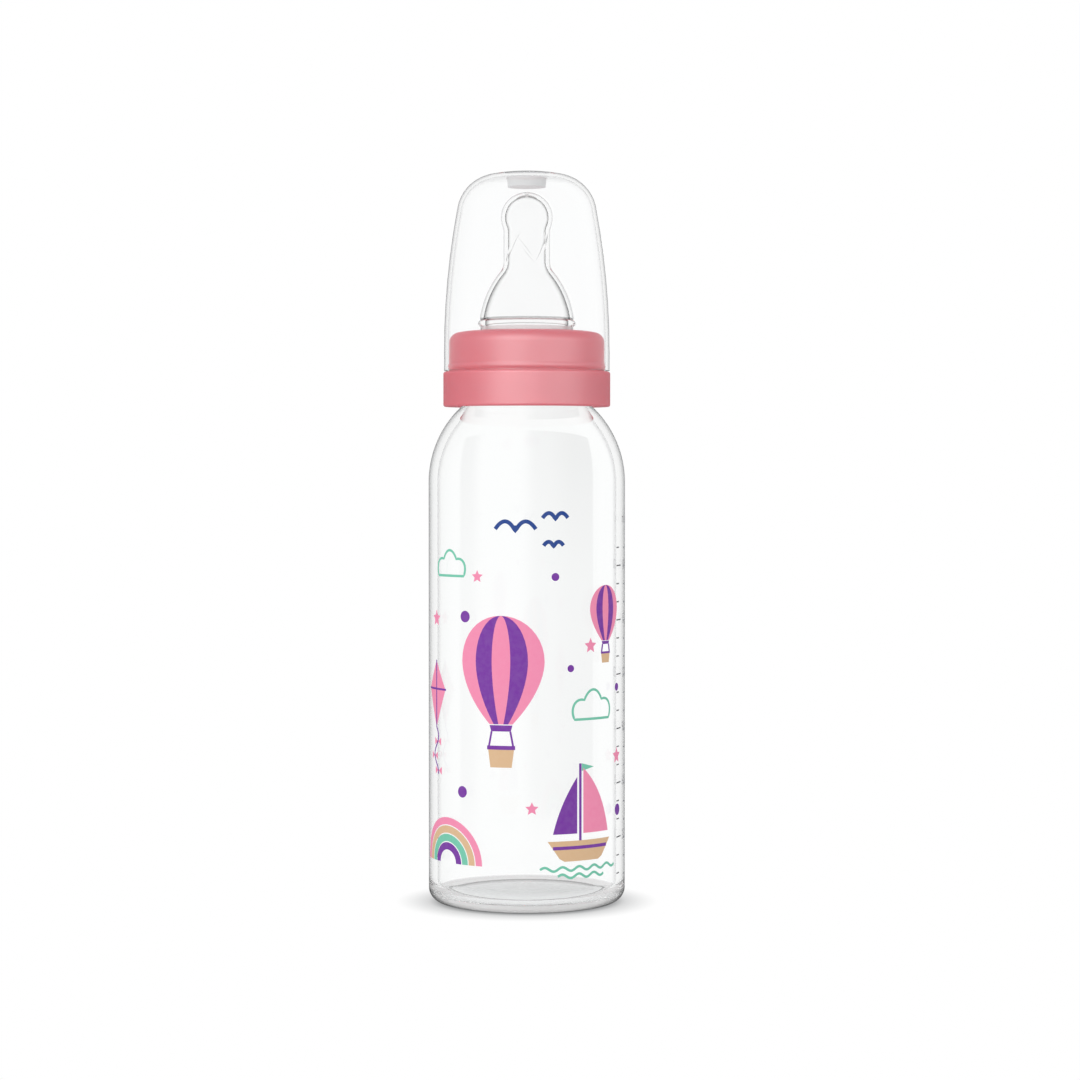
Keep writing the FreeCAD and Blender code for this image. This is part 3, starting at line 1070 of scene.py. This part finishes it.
def ink_finish(name, colour):
    """Fired print ink: a slightly uneven coat with a soft gloss."""
    finish, tree, shader, place = new_finish(name)
    coat = noise(tree, place, scale=650.0, detail=3.0)
    thin = tuple(1 - (1 - part) * ink_cover for part in colour)
    feed(tree, shader, {
        "Base Color": tint(tree, coat, colour, thin),
        "Roughness": spread(tree, coat, 0.22, 0.34),
        "Specular IOR Level": 0.05})
    relief(tree, shader, coat, strength=0.1, depth=0.00003)
    return finish


def floor_finish():
    """White to the eye and glowing, with a painted shadow of what stands close to it, drawn from ambient
    occlusion.
    """
    finish, tree = new_material("pale_floor")
    shader = tree.nodes["Principled BSDF"]
    feed(tree, shader, {"Base Color": (*grey(0.8), 1.0), "Roughness": 1.0, "Specular IOR Level": 0.0})
    near = add_node(tree, "AmbientOcclusion", {"Distance": floor_shade_reach})
    path = add_node(tree, "LightPath").outputs
    dark = tint(tree, path["Is Transmission Ray"], floor_shade, floor_shade_through_glass)
    glow = add_node(tree, "Emission", {"Color": tint(tree, near.outputs["AO"], dark, grey(1.0))})
    seen = calculate(tree, "MAXIMUM", path["Is Camera Ray"], path["Is Transmission Ray"])
    show(tree, mix_shaders(tree, seen, shader.outputs[0], glow.outputs[0]))
    return finish


def card_finish():
    """White, with upright grey fades that deepen towards the top and end softly at the foot: a glowing card
    that puts painted grey shade into the clear pieces that show it.
    """
    finish, tree = new_material("fading_card")
    finish.cycles.emission_sampling = "NONE"
    tree.nodes.remove(tree.nodes["Principled BSDF"])
    place = split(tree, add_node(tree, "TexCoord").outputs["Object"])
    across = rescale(tree, place["X"], (-card_half, card_half))
    fades = ramp(tree, across, [(0.5 + x * MM / (2 * card_half), grey(depth)) for x, depth in card_fades])
    deeper = rescale(tree, place["Z"], card_deepen_heights, (1.0, card_deepen))
    foot = rescale(tree, place["Z"], card_foot_heights, easing="SMOOTHSTEP")
    depth = calculate(tree, "MULTIPLY", fades, calculate(tree, "MULTIPLY", deeper, foot))
    glow = add_node(tree, "Emission", {"Strength": calculate(tree, "SUBTRACT", 1.0, depth)})
    show(tree, glow.outputs[0])
    return finish


def wear(piece, *finishes):
    """Puts finishes on a piece, the first of them on all its faces."""
    piece.data.materials.clear()
    for finish in finishes:
        piece.data.materials.append(finish)


def looks_out(face):
    """Above 0 where a face looks away from the axis, and below 0 where it looks inwards."""
    return face.normal.x * face.center.x + face.normal.y * face.center.y


# Pieces on their bodies
glass_body = make_glass_body()
wear(glass_body, glass_finish("clear_glass"), heel_finish(), glass_finish("floor_edge_painted_shade", clearness=0.25))
# Outward heel faces take the heel glass with its painted contact shade; inward faces in a thin ring just
# above the inner floor take a dark copy of the glass, a painted shade round the floor's edge
for face in glass_body.data.polygons:
    out_from_axis = math.hypot(face.center.x, face.center.y) / MM
    height = face.center.z / MM
    if looks_out(face) > 0 and height < heel_radius:
        face.material_index = 1
    elif looks_out(face) < 0 and out_from_axis > body_radius - body_wall - inner_heel_radius and (
            floor_height + floor_edge_low < height < floor_height + floor_edge_high):
        face.material_index = 2
glass_body.visible_diffuse = False
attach(glass_body, "bottle")
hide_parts("bottle")

collar_ring = make_collar()
wear(collar_ring, collar_finish())
collar_ring.visible_glossy = False
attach(collar_ring, "collar")
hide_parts("screw_collar")

teat_skin = make_teat()
wear(
    teat_skin,
    silicone_finish("clear_silicone"),
    silicone_finish("silicone_inside_painted_rims", rim_start=0.48, rim_end=0.84, rim_dark=0.0),
    silicone_finish("silicone_groove_painted_shade", clearness=0.35),
    silicone_finish("silicone_waist", clearness=0.74, see_through=0.4))
waist_low = collar_top - collar_top_thickness
waist_top = collar_top + bead_above_collar
groove_low = waist_top + bead_width
groove_top = groove_low + cone_above_bead
# Inward faces take a copy with deeper painted shade at the rims, the groove above the bead a dark copy that
# paints shade into it, and the waist a greyer, half-clear copy
for face in teat_skin.data.polygons:
    height = face.center.z / MM
    if looks_out(face) < 0:
        face.material_index = 1
    elif groove_low < height < groove_top:
        face.material_index = 2
    elif waist_low + flange_edge < height < waist_top:
        face.material_index = 3
teat_skin.visible_diffuse = False
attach(teat_skin, "teat")
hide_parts("teat")

cap_hood = make_cap()
wear(cap_hood, cap_finish())
cap_hood.visible_diffuse = False
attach(cap_hood, "cap")
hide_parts("cap")

# Print on the wall of the glass body
ink_colours = {
    "pink": (0.94, 0.28, 0.46),
    "tan": (0.75, 0.5, 0.29),
    "mint": (0.18, 0.6, 0.43),
    "purple": (0.19, 0.032, 0.37),
    "blue": (0.008, 0.055, 0.28),
    "grey": (0.33, 0.34, 0.37)}
print_sheets = {}
for ink, outlines in print_motifs().items():
    ink_layer = second_layer if ink in ("purple", "blue") else first_layer
    print_sheets[ink] = wrap_print("print_" + ink, [draw_patch(outline) for outline in outlines], ink_layer)
print_sheets["grey"] = make_scale()
for ink, sheet in print_sheets.items():
    wear(sheet, ink_finish("ink_" + ink, ink_colours[ink]))
    sheet.visible_glossy = False
    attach(sheet, "bottle")

# Floor
bpy.ops.object.select_all(action="DESELECT")
bpy.ops.mesh.primitive_plane_add(size=floor_size, location=(0, 0, -floor_drop))
studio_floor = bpy.context.object
studio_floor.name = "studio_floor"
wear(studio_floor, floor_finish())
studio_floor.visible_glossy = False

# Glowing card behind the bottle that is seen only through its clear pieces and puts painted grey shade in
# them
bpy.ops.object.select_all(action="DESELECT")
bpy.ops.mesh.primitive_plane_add(
    size=2 * card_half, location=(0, card_back, card_top - card_half), rotation=(math.pi / 2, 0, 0))
bpy.ops.object.transform_apply(location=True, rotation=True, scale=True)
fade_card = bpy.context.object
fade_card.name = "fade_card"
wear(fade_card, card_finish())
fade_card.visible_camera = False
fade_card.visible_diffuse = False
fade_card.visible_glossy = False
fade_card.visible_shadow = False


def make_sky():
    """White to the eye and through clear pieces, the room in reflections, and an even fill elsewhere."""
    studio = bpy.data.worlds.new("studio")
    studio.cycles.sampling_method = "NONE"
    studio.use_nodes = True
    tree = studio.node_tree
    fill = tree.nodes["Background"]
    feed(tree, fill, {"Color": (*grey(room_level), 1.0)})
    white = add_node(tree, "Background", {"Color": (*grey(1.0), 1.0)})
    way = split(tree, add_node(tree, "TexCoord").outputs["Generated"])
    way_round = calculate(tree, "ARCTAN2", way["X"], calculate(tree, "MULTIPLY", way["Y"], -1.0))
    turn = rescale(tree, way_round, (-math.pi, math.pi))
    boxes = ramp(tree, turn, [(angle / 360.0 + 0.5, grey(level)) for angle, level in room_boxes])
    room = add_node(tree, "Background", {"Color": boxes})
    path = add_node(tree, "LightPath").outputs
    first = calculate(tree, "LESS_THAN", path["Diffuse Depth"], 0.5)
    mirrored = calculate(tree, "MULTIPLY", first, path["Is Glossy Ray"])
    through = calculate(tree, "MULTIPLY", first, path["Is Transmission Ray"])
    seen = calculate(tree, "MAXIMUM", path["Is Camera Ray"], through)
    around = mix_shaders(tree, mirrored, fill.outputs[0], room.outputs[0])
    sky = mix_shaders(tree, seen, around, white.outputs[0])
    feed(tree, tree.nodes["World Output"], {"Surface": sky})
    return studio


bpy.context.scene.world = make_sky()


def soft_lamp(name, place, target, width, height, power):
    """A rectangular lamp turned to a target, that the clear pieces don't show."""
    light = bpy.data.lights.new(name, "AREA")
    light.shape = "RECTANGLE"
    light.size = width
    light.size_y = height
    light.energy = power
    lamp = bpy.data.objects.new(name, light)
    bpy.context.scene.collection.objects.link(lamp)
    lamp.location = place
    way = [there - here for here, there in zip(place, target)]
    flat = math.hypot(way[0], way[1])
    lamp.rotation_euler = (math.atan2(flat, -way[2]), 0.0, math.atan2(way[1], way[0]) - math.pi / 2)
    lamp.visible_transmission = False
    return lamp


key_lamp = soft_lamp(
    "key_lamp", place=(-0.62, -0.85, 0.4), target=(0.0, 0.0, 0.12), width=0.4, height=0.7, power=2.0)
key_lamp.visible_glossy = False

# Broad soft boxes in front that only give the satin collar its sheen
sheen_takers = bpy.data.collections.new("sheen_takers")
sheen_takers.objects.link(collar_ring)
sheen_target = (0.0, 0.0, 0.15)
front_sheen = soft_lamp(
    "front_sheen", place=(-0.44, -1.22, 0.6), target=sheen_target, width=1.6, height=2.0, power=82.0)
side_sheen = soft_lamp(
    "side_sheen", place=(1.0, -0.84, 0.15), target=sheen_target, width=1.5, height=1.6, power=46.0)
for sheen_lamp in (front_sheen, side_sheen):
    sheen_lamp.visible_diffuse = False
    sheen_lamp.light_linking.receiver_collection = sheen_takers

# Camera a little above the bottle's middle, tilted down slightly, with the frame lowered to centre the bottle
view_place = (0.0037, -0.79914, 0.12483)
view_tilt = 1.038
view = bpy.data.cameras.new("view")
view.lens = 95.0
view.sensor_width = 36.0
view.shift_y = -0.03
view_point = bpy.data.objects.new("view", view)
bpy.context.scene.collection.objects.link(view_point)
view_point.location = view_place
view_point.rotation_euler = (math.radians(90.0 - view_tilt), 0.0, 0.0)
bpy.context.scene.camera = view_point
bpy.context.scene.view_settings.view_transform = "Standard"

# Enough bounces for light that runs along inside the clear walls
bpy.context.scene.cycles.max_bounces = 96
bpy.context.scene.cycles.transmission_bounces = 96
bpy.context.scene.cycles.glossy_bounces = 64
